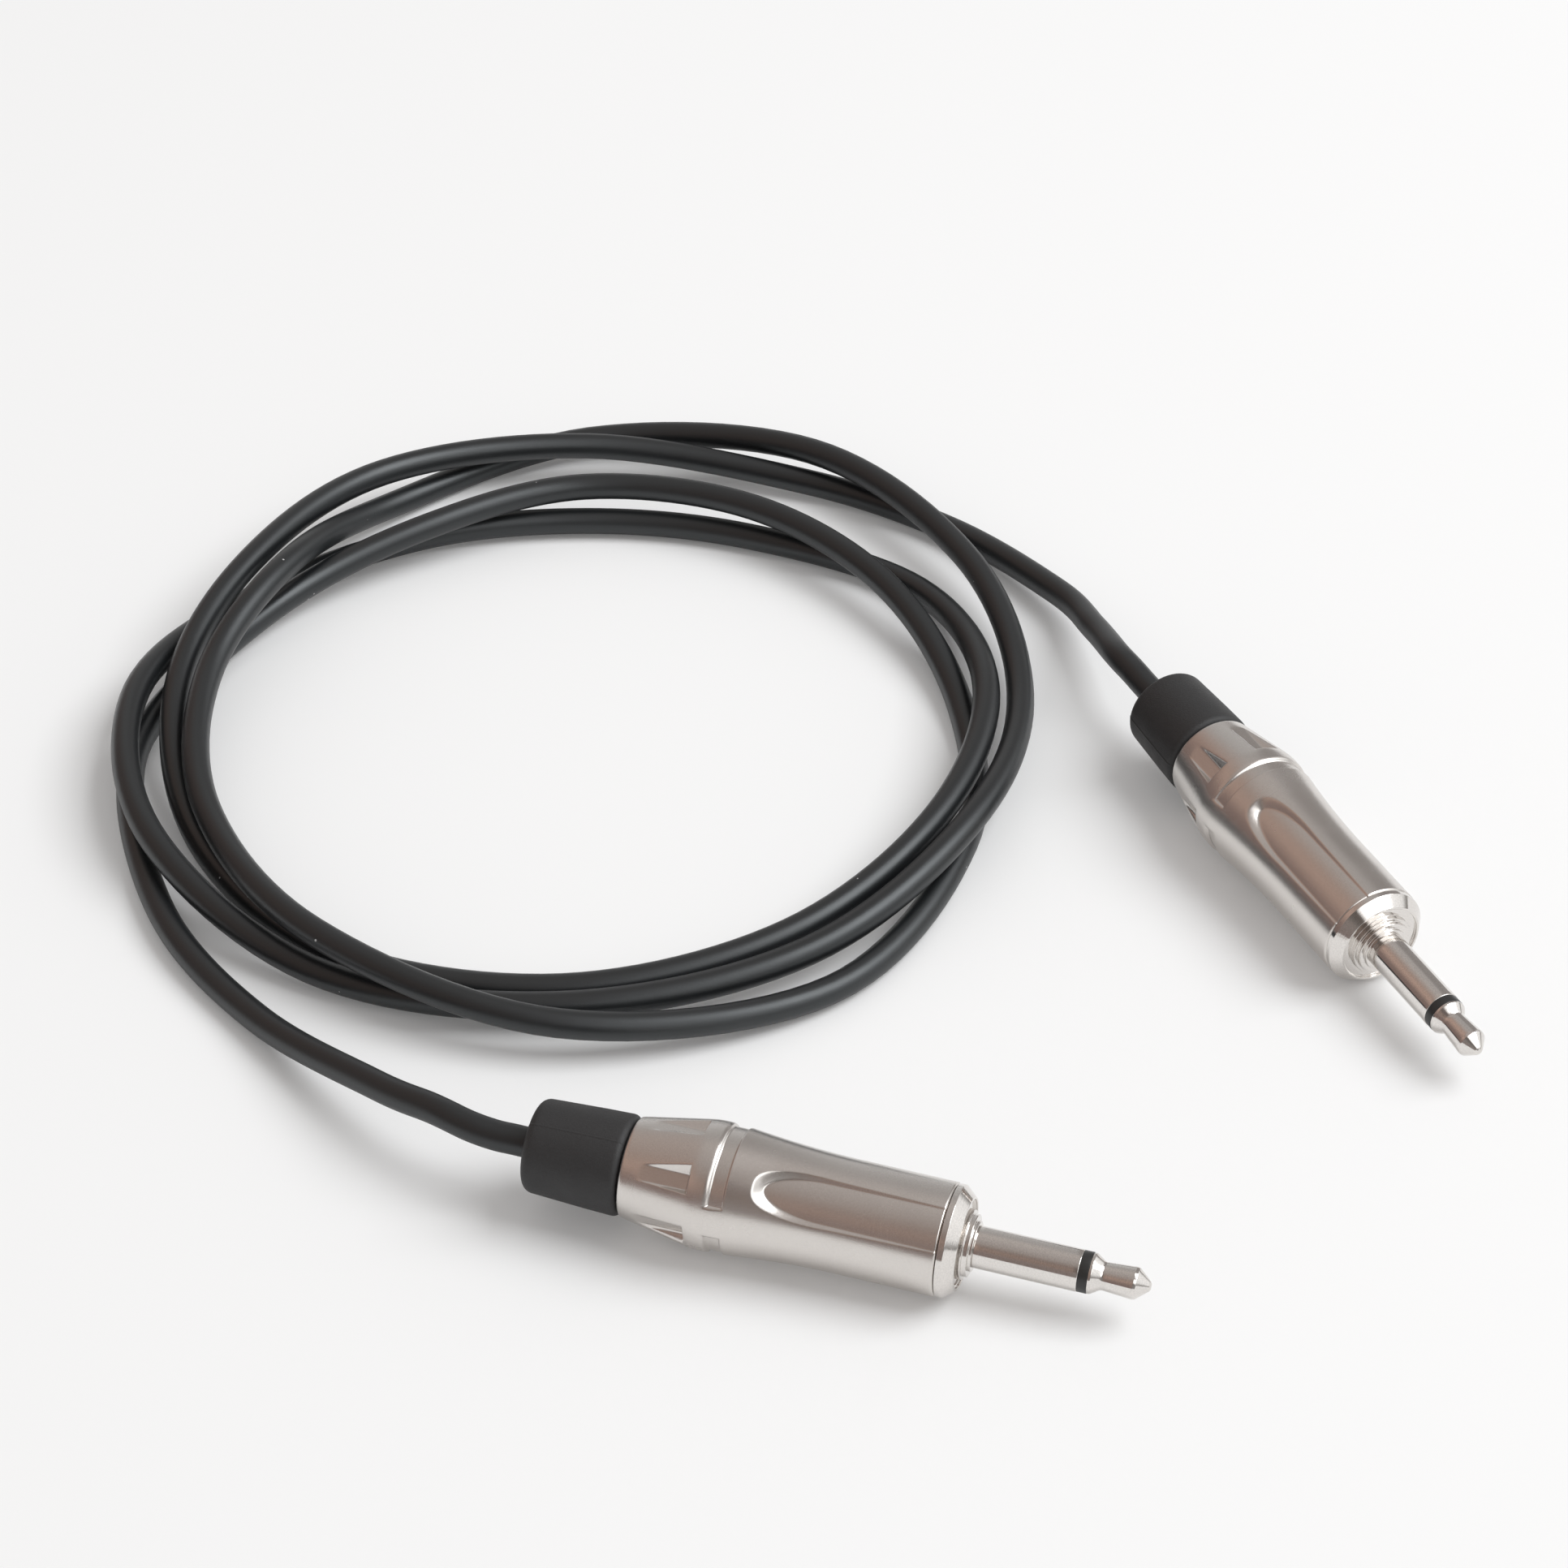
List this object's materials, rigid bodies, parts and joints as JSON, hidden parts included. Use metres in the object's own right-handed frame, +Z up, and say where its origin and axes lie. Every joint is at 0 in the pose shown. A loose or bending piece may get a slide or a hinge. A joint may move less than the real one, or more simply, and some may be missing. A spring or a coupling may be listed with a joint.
{
  "type": "instrument cable",
  "caption": "Coiled black instrument patch cable with a straight metal 3.5 mm mono plug, screw-off shell and rubber boot on each end.",
  "frame": {"origin": "on the table the cable lies on, under the centre of the box round the two plugs", "axes": "+Z up from the table, +X to the right and +Y away from someone who faces the plugs, with the coil to the left and behind"},
  "size_m": [0.1214, 0.1279, 0.0109],
  "materials": {
    "shell_metal": "satin, bead-blasted nickel plate",
    "contact_metal": "polished nickel plate",
    "boot_rubber": "fine-grained matte rubber",
    "cord_jacket": "smooth matte flexible jacket",
    "ring_plastic": "matte black",
    "liner_plastic": "translucent white, shown opaque",
    "lug_brass": "plain",
    "core_plastic": "smooth",
    "screen_wire": "tinned copper strands, twisted"
  },
  "bodies": {
    "lead": {"plug_body_a": "contact_metal", "sleeve_a": "contact_metal", "insulator_a": "ring_plastic", "tip_a": "contact_metal", "washer_a": "liner_plastic", "ground_lug_a": "lug_brass", "tip_lug_a": "lug_brass", "cord_end_a": "cord_jacket", "core_a": "core_plastic", "screen_a": "screen_wire", "plug_body_b": "contact_metal", "sleeve_b": "contact_metal", "insulator_b": "ring_plastic", "tip_b": "contact_metal", "washer_b": "liner_plastic", "ground_lug_b": "lug_brass", "tip_lug_b": "lug_brass", "cord_end_b": "cord_jacket", "core_b": "core_plastic", "screen_b": "screen_wire", "cord_lead_a": "cord_jacket", "cord_coil": "cord_jacket", "cord_lead_b": "cord_jacket"},
    "boot_a": {"boot_a": "boot_rubber"},
    "shell_a": {"shell_a": "shell_metal", "liner_a": "liner_plastic"},
    "boot_b": {"boot_b": "boot_rubber"},
    "shell_b": {"shell_b": "shell_metal", "liner_b": "liner_plastic"}
  },
  "joints": [
    {"name": "boot_a_slide", "type": "slide", "parent": "lead", "child": "boot_a", "axis": [-0.9557, 0.2922, 0.0364], "range_m": [0, 0.003]},
    {"name": "shell_a_turn", "type": "hinge", "parent": "boot_a", "child": "shell_a", "pos_m": [-0.01541, -0.02987, 0.00511], "axis": [-0.9557, 0.2922, 0.0364], "range_deg": [0, 1440]},
    {"name": "boot_b_slide", "type": "slide", "parent": "lead", "child": "boot_b", "axis": [-0.4537, 0.8904, 0.0364], "range_m": [0, 0.003]},
    {"name": "shell_b_turn", "type": "hinge", "parent": "boot_b", "child": "shell_b", "pos_m": [0.02778, 0.01457, 0.00511], "axis": [-0.4537, 0.8904, 0.0364], "range_deg": [0, 1440]}
  ],
  "couplings": [
    {"joint": "shell_a_turn", "follows": "boot_a_slide", "rad_per_m": 8377.5},
    {"joint": "shell_b_turn", "follows": "boot_b_slide", "rad_per_m": 8377.5}
  ]
}
